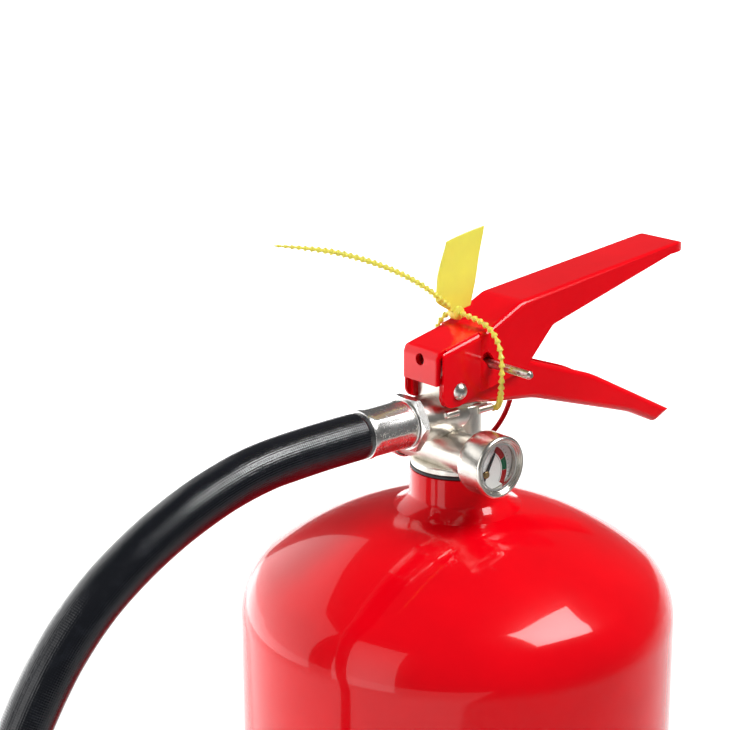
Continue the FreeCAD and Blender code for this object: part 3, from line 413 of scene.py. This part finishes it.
def fans(rows, columns):
    """Triangles that close the two ends of a wrapped grid, each on one of the two points after it."""
    j = np.arange(columns)
    k = (j + 1) % columns
    top, pole = (rows - 1) * columns, rows * columns
    low = np.stack([k, j, np.full(columns, pole)], axis=-1)
    high = np.stack([top + j, top + k, np.full(columns, pole + 1)], axis=-1)
    return low.tolist() + high.tolist()


def lathe(name, profile, finish, base=(0, 0, 0), axis=(0, 0, 1), steps=192, sharp=32, press=None):
    """A profile of (radius, distance) millimetres turned about an axis through base.

    Point (i, j) = base + distance_i * axis + radius_ij * (cos t_j * side + sin t_j * up), where
    radius_ij is radius_i, or what press(radius, distance, turn) makes of it.  A profile that starts
    and ends at radius 0 closes with one point at each pole; any other closes on itself."""
    radius, reach = np.asarray(profile, dtype=float).T * MM
    axis = Vector(axis).normalized()
    side = Vector((0, 0, 1)) if abs(axis.z) < 0.5 else Vector((1, 0, 0))
    up = axis.cross(side)
    turn = np.linspace(0, 2 * math.pi, steps, endpoint=False)
    wheel = np.cos(turn)[:, None] * np.array(side) + np.sin(turn)[:, None] * np.array(up)
    poled = radius[0] < 1e-9
    first, last = (1, len(radius) - 1) if poled else (0, len(radius))
    rings = np.repeat(radius[first:last, None], steps, axis=1)
    if press:
        rings = press(rings, reach[first:last, None], turn)
    body = (np.asarray(base) * MM + reach[first:last, None, None] * np.array(axis)
            + rings[:, :, None] * wheel)
    rows = last - first
    points = body.reshape(-1, 3)
    faces = grid_faces(rows, steps).tolist()
    if poled:
        ends = np.asarray(base) * MM + np.outer(reach[[0, -1]], np.array(axis))
        points = np.vstack([points, ends])
        faces += fans(rows, steps)
    else:
        wrap = grid_faces(2, steps)
        top = (rows - 1) * steps
        faces += np.where(wrap < steps, wrap + top, wrap - steps).tolist()
    piece = mesh_piece(name, points, faces, finish, sharp=sharp)
    face_out(piece, Vector(base) * MM, axis)
    return piece


def face_out(piece, base, axis):
    """Turns every face round if the widest one looks inwards."""
    mesh = piece.data
    far = max(mesh.polygons, key=lambda p: ((p.center - base).cross(axis)).length)
    radial = (far.center - base) - axis * (far.center - base).dot(axis)
    if far.normal.dot(radial) < 0:
        mesh.flip_normals()


def arc(centre, radius, start, end, count):
    """Points (radius, height) on a circle's arc, by angles in degrees."""
    turn = np.radians(np.linspace(start, end, count))
    return [(centre[0] + radius * math.cos(t), centre[1] + radius * math.sin(t)) for t in turn]


def spline(route, count):
    """Quadratic B-spline through a control polygon, clamped at both ends: on each span the point is
    a(1-t)^2 + 2b t(1-t) + c t^2, where a and c are the middles of runs and b the corner between them."""
    route = np.asarray(route, dtype=float)
    middles = (route[:-1] + route[1:]) / 2
    middles[0], middles[-1] = route[0], route[-1]
    t = np.linspace(0, 1, count, endpoint=False)[:, None]
    spans = [a * (1 - t) ** 2 + 2 * b * t * (1 - t) + c * t ** 2
             for a, b, c in zip(middles[:-1], route[1:-1], middles[1:])]
    return np.vstack(spans + [route[-1:]])


def evenly(path, step):
    """The path's points again, spaced evenly along it, and the distance of each from its start."""
    run = np.concatenate([[0], np.cumsum(np.linalg.norm(np.diff(path, axis=0), axis=1))])
    count = max(8, int(round(run[-1] / step)))
    along = np.linspace(0, run[-1], count + 1)
    return np.stack([np.interp(along, run, path[:, i]) for i in range(3)], axis=1), along


def tube(name, path, radius, finish, steps=48, along=None):
    """A closed round tube: point (i, j) = path_i + radius_i * (cos t_j * side_i + sin t_j * up_i).

    side is carried along without twist, and a point in the middle of each end closes it."""
    tangent = np.gradient(path, axis=0)
    tangent /= np.linalg.norm(tangent, axis=1)[:, None]
    side = np.zeros_like(path)
    start = np.array([0.0, 1.0, 0.0]) if abs(tangent[0][1]) < 0.9 else np.array([1.0, 0.0, 0.0])
    for i, t in enumerate(tangent):
        last = start if i == 0 else side[i - 1]
        side[i] = last - t * last.dot(t)
        side[i] /= np.linalg.norm(side[i])
    up = np.cross(tangent, side)
    turn = np.linspace(0, 2 * math.pi, steps, endpoint=False)
    ring = (np.cos(turn)[None, :, None] * side[:, None, :] + np.sin(turn)[None, :, None] * up[:, None, :])
    radius = np.broadcast_to(radius, len(path))
    points = (path[:, None, :] + radius[:, None, None] * ring).reshape(-1, 3)
    points = np.vstack([points, path[:1], path[-1:]])
    rows = len(path)
    faces = grid_faces(rows, steps).tolist() + fans(rows, steps)
    uv = None
    if along is not None:
        u = np.repeat(along[:-1], steps)
        v = np.tile(turn * radius.mean(), rows - 1)
        du, dv = np.repeat(np.diff(along), steps), turn[1] * radius.mean()
        quad = np.stack([np.stack([u, v], -1), np.stack([u, v + dv], -1),
                         np.stack([u + du, v + dv], -1), np.stack([u + du, v], -1)], axis=1)
        uv = np.vstack([quad.reshape(-1, 2), np.zeros((6 * steps, 2))])
    return mesh_piece(name, points, faces, finish, uv=uv)


def dress(names, finish):
    """Gives a finish to CAD nodes that keep their own shape."""
    for name in names:
        mesh = NODES[name].data
        mesh.materials.clear()
        mesh.materials.append(finish.material)


def on_valve(route):
    """A route in millimetres above the neck, as metres in the frame."""
    return np.asarray(route, dtype=float) * MM + np.array([0, 0, NECK])


# ---- operators ----------------------------------------------------------------------------------
# Softboxes: name, place, target, direction of the width, width and height in metres, watts, and the
# spread of the beam in degrees, which keeps light off the floor round the object.
SOFTBOXES = [
    ("window_right", (0.44, -0.62, 1.42), (0.0, 0.0, 0.40), (0.97, 0.2, -0.2), (0.66, 0.56), 8.0, 120),
    ("wall_left", (-0.51, 1.26, 0.62), (0.0, 0.0, 0.62), (0.93, 0.37, 0.0), (2.1, 2.5), 19.0, 130),
    ("strip_left", (-1.40, -0.02, 0.62), (0.0, 0.0, 0.62), (0.0, 1.0, 0.0), (0.85, 2.3), 7.0, 130),
    ("backdrop_wash", (0.9, 1.05, 1.6), (1.75, 2.05, 0.4), (0.764, -0.645, 0.0), (2.6, 0.9), 85.0, 180),
]
STUDIO_GLOW = 0.12
FLOOR_START, COVE_START, COVE_R, FLOOR_HALF = -3.0, 1.6, 1.0, 4.0       # metres, away from the camera
CAMERA_PLACE, CAMERA_LENS = (-0.4468, -0.4778, 0.6712), 93.70
CAMERA_TURNS = (-40.133, 16.567, -0.298)        # degrees round the object, above it and about the view


class EXTINGUISHER_OT_studio(bpy.types.Operator):
    """Pale floor and backdrop, softboxes and the camera"""
    bl_idname = "extinguisher.studio"
    bl_label = "Studio"

    def execute(self, context):
        scene = context.scene
        studio_floor()
        for softbox in SOFTBOXES:
            add_softbox(*softbox)
        scene.world = studio_air(STUDIO_GLOW)
        scene.view_settings.view_transform = "Standard"
        add_camera(scene)
        return {"FINISHED"}


def studio_floor():
    """A strip that runs level away from the camera and then curves up behind the object."""
    cove = [(FLOOR_START, 0.0), (COVE_START, 0.0)]
    cove += [(COVE_START + COVE_R * math.sin(t), COVE_R * (1.0 - math.cos(t)))
             for t in np.linspace(0.05, 0.9, 18)]
    depth, height = np.array(cove).T
    width = np.array([-FLOOR_HALF, FLOOR_HALF])
    forward, side = np.array([0.645, 0.764, 0.0]), np.array([0.764, -0.645, 0.0])
    points = (depth[:, None, None] * forward + width[None, :, None] * side
              + height[:, None, None] * np.array([0, 0, 1.0])).reshape(-1, 3)
    faces = [[2 * i, 2 * i + 1, 2 * i + 3, 2 * i + 2] for i in range(len(cove) - 1)]
    return mesh_piece("studio_floor", points, faces, floor_finish())


def studio_air(glow):
    """A white room as the camera sees it, which lights the object only a little."""
    world = bpy.data.worlds.new("studio air")
    world.use_nodes = True
    tree = world.node_tree
    dim = tree.nodes["Background"]
    dim.inputs["Color"].default_value, dim.inputs["Strength"].default_value = (1, 1, 1, 1), glow
    seen = tree.nodes.new("ShaderNodeBackground")
    seen.inputs["Color"].default_value, seen.inputs["Strength"].default_value = (1, 1, 1, 1), 1.0
    choose, path = tree.nodes.new("ShaderNodeMixShader"), tree.nodes.new("ShaderNodeLightPath")
    tree.links.new(path.outputs["Is Camera Ray"], choose.inputs[0])
    tree.links.new(dim.outputs[0], choose.inputs[1])
    tree.links.new(seen.outputs[0], choose.inputs[2])
    tree.links.new(choose.outputs[0], tree.nodes["World Output"].inputs["Surface"])
    return world


def add_softbox(name, place, target, across, size, power, spread):
    lamp = bpy.data.lights.new(name, "AREA")
    lamp.shape, lamp.size, lamp.size_y, lamp.energy = "RECTANGLE", *size, power
    lamp.spread = math.radians(spread)
    obj = bpy.data.objects.new(name, lamp)
    obj.visible_camera = False
    back = (Vector(place) - Vector(target)).normalized()
    side = (Vector(across) - back * back.dot(Vector(across))).normalized()
    turned = Matrix((side, back.cross(side), back)).transposed().to_4x4()
    obj.matrix_world = Matrix.Translation(place) @ turned
    bpy.context.scene.collection.objects.link(obj)


def add_camera(scene):
    """Stands off the front left of the valve, level with the lever's tip and looking down a little."""
    turn, rise, roll = (math.radians(a) for a in CAMERA_TURNS)
    back = Vector((math.sin(turn) * math.cos(rise), -math.cos(turn) * math.cos(rise), math.sin(rise)))
    right = Vector((math.cos(turn), math.sin(turn), 0.0))
    up = back.cross(right)
    across = right * math.cos(roll) + up * math.sin(roll)
    upward = up * math.cos(roll) - right * math.sin(roll)
    lens = bpy.data.cameras.new("camera")
    lens.lens, lens.sensor_width, lens.clip_start = CAMERA_LENS, 36.0, 0.02
    camera = bpy.data.objects.new("camera", lens)
    turned = Matrix((across, upward, back)).transposed().to_4x4()
    camera.matrix_world = Matrix.Translation(CAMERA_PLACE) @ turned
    scene.collection.objects.link(camera)
    scene.camera = camera


def crimped(radius, reach, turn):
    """Eight flats pressed into the middle of a sleeve, with a soft ridge left between each two."""
    ridge = np.abs(np.cos(CRIMPS / 2 * turn)) ** 8
    middle = np.interp(reach / MM, [2.2, 3.6, SLEEVE_L - 3.2, SLEEVE_L - 1.8], [0, 1, 1, 0])
    outside = radius > SLEEVE_BORE * 1.05 * MM
    return radius - outside * middle * (1 - ridge) * CRIMP_DEPTH * MM


def sleeve(name, base, axis, length, finish):
    """A ferrule: bored floor at base, collar, crimped wall and a rolled mouth."""
    r = SLEEVE_R
    profile = [(TAIL_HOLE, 0.0), (r - 0.7, 0.0), (r - 0.2, 0.2), (r, 0.7), (r, 2.2),
               (r - 0.06, 3.6),
               (r - 0.06, length - 3.2), (r, length - 1.8), (r, length - 0.6), (r - 0.15, length - 0.15),
               (r - 0.5, length), (SLEEVE_BORE, length), (SLEEVE_BORE, SLEEVE_FLOOR),
               (TAIL_HOLE, SLEEVE_FLOOR)]
    piece = lathe(name, profile, finish, base, axis, 160, 28, crimped)
    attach(piece, "root")
    return piece


class EXTINGUISHER_OT_hose(bpy.types.Operator):
    """Hose, its ferrules and the nozzle"""
    bl_idname = "extinguisher.hose"
    bl_label = "Hose and nozzle"

    def execute(self, context):
        route = [(x * MM, 0.0, z * MM) for x, z in HOSE_ROUTE]
        path, along = evenly(spline(route, 24), 0.0022)
        swell = 1 + 0.006 * np.sin(along * 2 * math.pi / (HOSE_LAP * MM)) * np.sin(along * 31.0)
        swell *= 1 - 0.012 * np.exp(-along / 0.002)
        rubber = hose_rubber(look().rubber, look().cloth_pitch)
        hose = tube("hose_cover", path, HOSE_R * MM * np.minimum(swell, 1.0), rubber, 64, along)
        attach(hose, "root")
        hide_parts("hose")
        zinc = bright_zinc()
        (first_x, first_z), (last_x, last_z) = HOSE_ROUTE[0], HOSE_ROUTE[-1]
        upper = sleeve("hose_sleeve", (first_x + SLEEVE_L, 0, first_z), (-1, 0, 0), SLEEVE_L, zinc)
        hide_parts("hose_ferrule")
        lower = sleeve("nozzle_sleeve", (last_x, 0, last_z - NOZZLE_SLEEVE_L), (0, 0, 1),
                       NOZZLE_SLEEVE_L, zinc)
        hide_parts("nozzle_ferrule")
        dress(["hose_fitting"], zinc)
        dress(["hose_gasket"], soft_rubber())
        dress(["nozzle"], moulded("nozzle plastic", (0.018, 0.018, 0.020)))
        dress(["holder_band", "nozzle_clip"], moulded("clip plastic", (0.015, 0.015, 0.017), 0.38))
        return {"FINISHED"}


class EXTINGUISHER_OT_vessel(bpy.types.Operator):
    """Painted pressure vessel, neck ring and foot cup"""
    bl_idname = "extinguisher.vessel"
    bl_label = "Vessel"

    def execute(self, context):
        paint = powder_coat("red powder coat", look().paint, look().peel)
        shell, neck = vessel_shell(paint), neck_collar(paint)
        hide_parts("cylinder_shell")
        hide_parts("neck_ring")
        for piece in (shell, neck):
            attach(piece, "root")
        dress(["foot_cup"], moulded("foot plastic", (0.016, 0.016, 0.018), 0.45, 0.001, 0.0001))
        dress(["tube_adapter", "dip_tube"], moulded("tube plastic", (0.78, 0.77, 0.72)))
        return {"FINISHED"}


def vessel_shell(paint):
    """Dished bottom, straight wall, and a crown that a knuckle joins to the wall without a corner."""
    crown_c = CROWN_Z - CROWN_R
    knuckle_x = CYL_R - KNUCKLE_R
    knuckle_z = crown_c + math.sqrt((CROWN_R - KNUCKLE_R) ** 2 - knuckle_x ** 2)
    meet = math.degrees(math.atan2(knuckle_z - crown_c, knuckle_x))
    low = (CYL_R - BOTTOM_KNUCKLE_R, BOTTOM_Z + BOTTOM_KNUCKLE_R)
    profile = DISH + arc(low, BOTTOM_KNUCKLE_R, -100, 0, 14)
    profile += [(CYL_R, z) for z in np.linspace(low[1] + 4, knuckle_z - 2, 20)]
    profile += arc((knuckle_x, knuckle_z), KNUCKLE_R, 0, meet, 26)
    profile += arc((0.0, crown_c), CROWN_R, meet, 90, 40)[1:]
    profile[-1] = (0.0, CROWN_Z)
    return lathe("vessel_shell", profile, paint, steps=256)


def neck_collar(paint):
    """Neck ring whose skirt curves outwards and down into the crown."""
    foot = CROWN_Z - CROWN_R + math.sqrt((CROWN_R - WELD_SINK) ** 2 - WELD_R ** 2)
    ring = [(NECK_BORE, NECK_LOW), (NECK_BORE, NECK_TOP), (NECK_R - 0.7, NECK_TOP),
            (NECK_R - 0.2, NECK_TOP - 0.2), (NECK_R, NECK_TOP - 0.7), (NECK_R, FLARE_TOP)]
    skirt = [(NECK_R + (WELD_R - NECK_R) * t ** 1.35,
              FLARE_TOP + (foot - FLARE_TOP) * (1 - (1 - t) ** 1.35)) for t in np.linspace(0, 1, 16)[1:]]
    return lathe("neck_collar", ring + skirt, paint, steps=160)


class EXTINGUISHER_OT_valve(bpy.types.Operator):
    """Cast valve body, plug, stem and seals"""
    bl_idname = "extinguisher.valve"
    bl_label = "Valve"

    def execute(self, context):
        dress(["valve_body"], cast_nickel())
        dress(["rear_plug"], bright_zinc())
        dress(["valve_stem", "gauge_socket", "bourdon_tube", "needle_spindle"], turned_brass())
        dress(["neck_o_ring", "stem_o_rings", "seat_gasket"], soft_rubber())
        coil = stem_coil(drawn_steel("spring steel", (0.55, 0.55, 0.54), (0.35, 0.34, 0.33)))
        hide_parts("stem_spring")
        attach(coil, "root")
        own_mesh(coil)
        return {"FINISHED"}


def stem_coil(finish):
    """A helix of wire: the path climbs evenly while it turns, flatter at both ends."""
    share = np.linspace(0, 1, 200)
    turn = share * SPRING_TURNS * 2 * math.pi
    wire = SPRING_WIRE / 2
    climb = np.interp(share, [0, 0.1, 0.9, 1], [0, 0.03, 0.97, 1.0])
    rise = SPRING_LOW + wire + (SPRING_HIGH - SPRING_LOW - SPRING_WIRE) * climb
    path = np.stack([SPRING_R * np.cos(turn), SPRING_R * np.sin(turn), rise], axis=1) * MM
    return tube("stem_coil", path, wire * MM, finish, 16)


class EXTINGUISHER_OT_gauge(bpy.types.Operator):
    """Pressure gauge: stepped case, glass, printed dial and needle"""
    bl_idname = "extinguisher.gauge"
    bl_label = "Gauge"

    def execute(self, context):
        satin = plated("gauge nickel", (0.80, 0.77, 0.71), (0.68, 0.65, 0.59), 0.17, 0.0009, 0.00003, 0.08)
        case = lathe("gauge_bezel", gauge_profile(), satin, (CROSS_X, 0, CROSS_Z), (0, 1, 0), 144, 28)
        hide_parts("gauge_case")
        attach(case, "root")
        dress(["lens_ring"], bright_zinc())
        dress(["gauge_lens"], gauge_glass())
        dress(["gauge_dial"], dial_print())
        dress(["gauge_needle"], moulded("needle black", (0.012, 0.012, 0.012), 0.35, 0.0004, 0.00001))
        return {"FINISHED"}


def gauge_profile():
    """Outline of the case: chamfered back, straight wall, rolled front rim, two steps down to the
    glass, and the inside wall back to the floor's hole."""
    front, back, r = GAUGE_FRONT, GAUGE_BACK, GAUGE_R
    inside, floor = r - GAUGE_WALL, back - GAUGE_FLOOR
    shoulder = [(GAUGE_HOLE, back), (10.5, back), (10.8, back - 0.15), (10.95, back - 0.5),
                (10.98, back - 1.3), (r - 0.1, back - 1.5), (r, back - 1.9), (r, back - 2.4)]
    rim = [(r, front + 1.1), (r - 0.12, front + 0.55), (r - 0.4, front + 0.18), (r - 0.7, front),
           (r - 1.15, front), (r - 1.3, front + 0.08), (r - 1.36, front + 0.42)]
    steps = [(r - 1.75, front + 0.46), (r - 1.85, front + 0.56), (r - 1.9, front + 0.95),
             (r - 2.25, front + 1.0), (r - 2.35, front + 1.1), (r - 2.42, front + 1.5)]
    return shoulder + rim + steps + [(inside, front + 1.55), (inside, floor), (GAUGE_HOLE, floor)]


class EXTINGUISHER_OT_levers(bpy.types.Operator):
    """Painted squeeze lever and carrying handle with their pins"""
    bl_idname = "extinguisher.levers"
    bl_label = "Lever and handle"

    def execute(self, context):
        paint = powder_coat("lever powder coat", look().paint, look().peel * 0.6, 0.6)
        dress(["operating_lever", "carrying_handle"], paint)
        steel = drawn_steel("pin steel", (0.62, 0.60, 0.56), (0.38, 0.35, 0.30))
        dress(["lever_rivet", "handle_pins", "safety_pin"], steel)
        dress(["pull_ring"], powder_coat("ring coating", (0.50, 0.006, 0.012), 0.004, 0.4))
        return {"FINISHED"}


class EXTINGUISHER_OT_seal(bpy.types.Operator):
    """Beaded tamper seal with its tail and flag"""
    bl_idname = "extinguisher.seal"
    bl_label = "Tamper seal"

    def execute(self, context):
        plastic = seal_plastic(look().seal)
        pieces = [beaded_strap("seal_beads", STRAP_ROUTE, plastic, "seal_strap", False),
                  beaded_strap("seal_tail_beads", TAIL_ROUTE, plastic, "seal_tail", True),
                  seal_flag(plastic)]
        for piece in pieces:
            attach(piece, "root")
        return {"FINISHED"}


def beaded_strap(name, route, finish, node, tapers):
    """A thin cord of cone-shaped beads: the radius climbs slowly and drops quickly once every pitch,
    and a cord that tapers is thinner over its last quarter."""
    path, along = evenly(spline(on_valve(route), 20), 0.0002)
    phase = (along / look().bead_pitch) % 1.0
    falling = np.maximum(0.0, 1 - (phase - BEAD_CLIMB) / BEAD_DROP)
    bead = np.where(phase < BEAD_CLIMB, phase / BEAD_CLIMB, falling)
    radius = (BEAD_ROOT + BEAD_RISE * bead ** 1.15) * MM
    if tapers:
        radius = radius * np.interp(along, [0, along[-1] * 0.75, along[-1]], [1.0, 1.0, 0.45])
    piece = tube(name, path, radius, finish, 14)
    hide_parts(node)
    return piece


def seal_flag(finish):
    """A bowed tag: point (u, v) is the blend of its left and right edges by u, pushed along Y by a
    bow that is greatest in the middle and grows towards the top, given a wall with rounded rims."""
    v = np.linspace(0, 1, 40)
    left, right = tag_edge(v, *TAG_LEFT), tag_edge(v, *TAG_RIGHT)
    u = np.linspace(0, 1, 24)[None, :, None]
    flat = left[:, None, :] * (1 - u) + right[:, None, :] * u
    bow = 0.9 * np.sin(math.pi * u[..., 0]) * (0.2 + v[:, None]) - 0.5 * np.sin(v[:, None] * 5.0) ** 2
    points = np.stack([flat[..., 0], TAG_Y + bow * 0.6, flat[..., 1]], axis=-1).reshape(-1, 3)
    rows, columns = len(v), u.shape[1]
    i = np.arange(rows - 1)[:, None] * columns
    j = np.arange(columns - 1)[None, :]
    faces = np.stack([i + j, i + j + 1, i + j + 1 + columns, i + j + columns], axis=-1).reshape(-1, 4)
    flag = mesh_piece("seal_tag", on_valve(points), faces.tolist(), finish)
    wall = flag.modifiers.new("wall", "SOLIDIFY")
    wall.thickness, wall.offset = TAG_WALL * MM, 0.0
    rim = flag.modifiers.new("rim", "BEVEL")
    rim.width, rim.segments, rim.limit_method = TAG_RIM * MM, 2, "ANGLE"
    seal_socket(finish)
    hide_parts("seal_flag")
    return flag


def tag_edge(v, shares, corners):
    """One edge of the tag: straight runs between its corners, rounded by averaging neighbours."""
    edge = np.stack([np.interp(v, shares, ordinate) for ordinate in zip(*corners)], axis=1)
    for _ in range(3):
        edge[1:-1] = (edge[:-2] + 2 * edge[1:-1] + edge[2:]) / 4
    return edge


def seal_socket(finish):
    """The round lock that the strap's two ends enter."""
    x, y, height = SEAL_SOCKET
    rim = [(1.9, 2.1), (2.4, 1.8), (2.6, 1.2)]
    profile = [(0.0, -2.1)] + [(r, -z) for r, z in rim] + rim[::-1] + [(0.0, 2.1)]
    socket = lathe("seal_socket", profile, finish, (x, y, height + NECK / MM), (0, 1, 0), 40)
    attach(socket, "root")


class EXTINGUISHER_PT_panel(bpy.types.Panel):
    bl_idname = "EXTINGUISHER_PT_panel"
    bl_label = "Powder Extinguisher"
    bl_space_type = "VIEW_3D"
    bl_region_type = "UI"
    bl_category = "Extinguisher"

    def draw(self, context):
        for name in ExtinguisherLook.__annotations__:
            self.layout.prop(context.scene.extinguisher, name)
        for maker in MAKERS:
            self.layout.operator(maker.bl_idname)


MAKERS = (EXTINGUISHER_OT_studio, EXTINGUISHER_OT_hose, EXTINGUISHER_OT_vessel, EXTINGUISHER_OT_valve,
          EXTINGUISHER_OT_gauge, EXTINGUISHER_OT_levers, EXTINGUISHER_OT_seal)
CLASSES = (ExtinguisherLook, *MAKERS, EXTINGUISHER_PT_panel)


def register():
    for cls in CLASSES:
        bpy.utils.register_class(cls)
    bpy.types.Scene.extinguisher = PointerProperty(type=ExtinguisherLook)


def unregister():
    del bpy.types.Scene.extinguisher
    for cls in reversed(CLASSES):
        bpy.utils.unregister_class(cls)


def main():
    register()
    for maker in MAKERS:
        getattr(bpy.ops.extinguisher, maker.bl_idname.split(".")[1])()


if __name__ == "__main__":
    main()
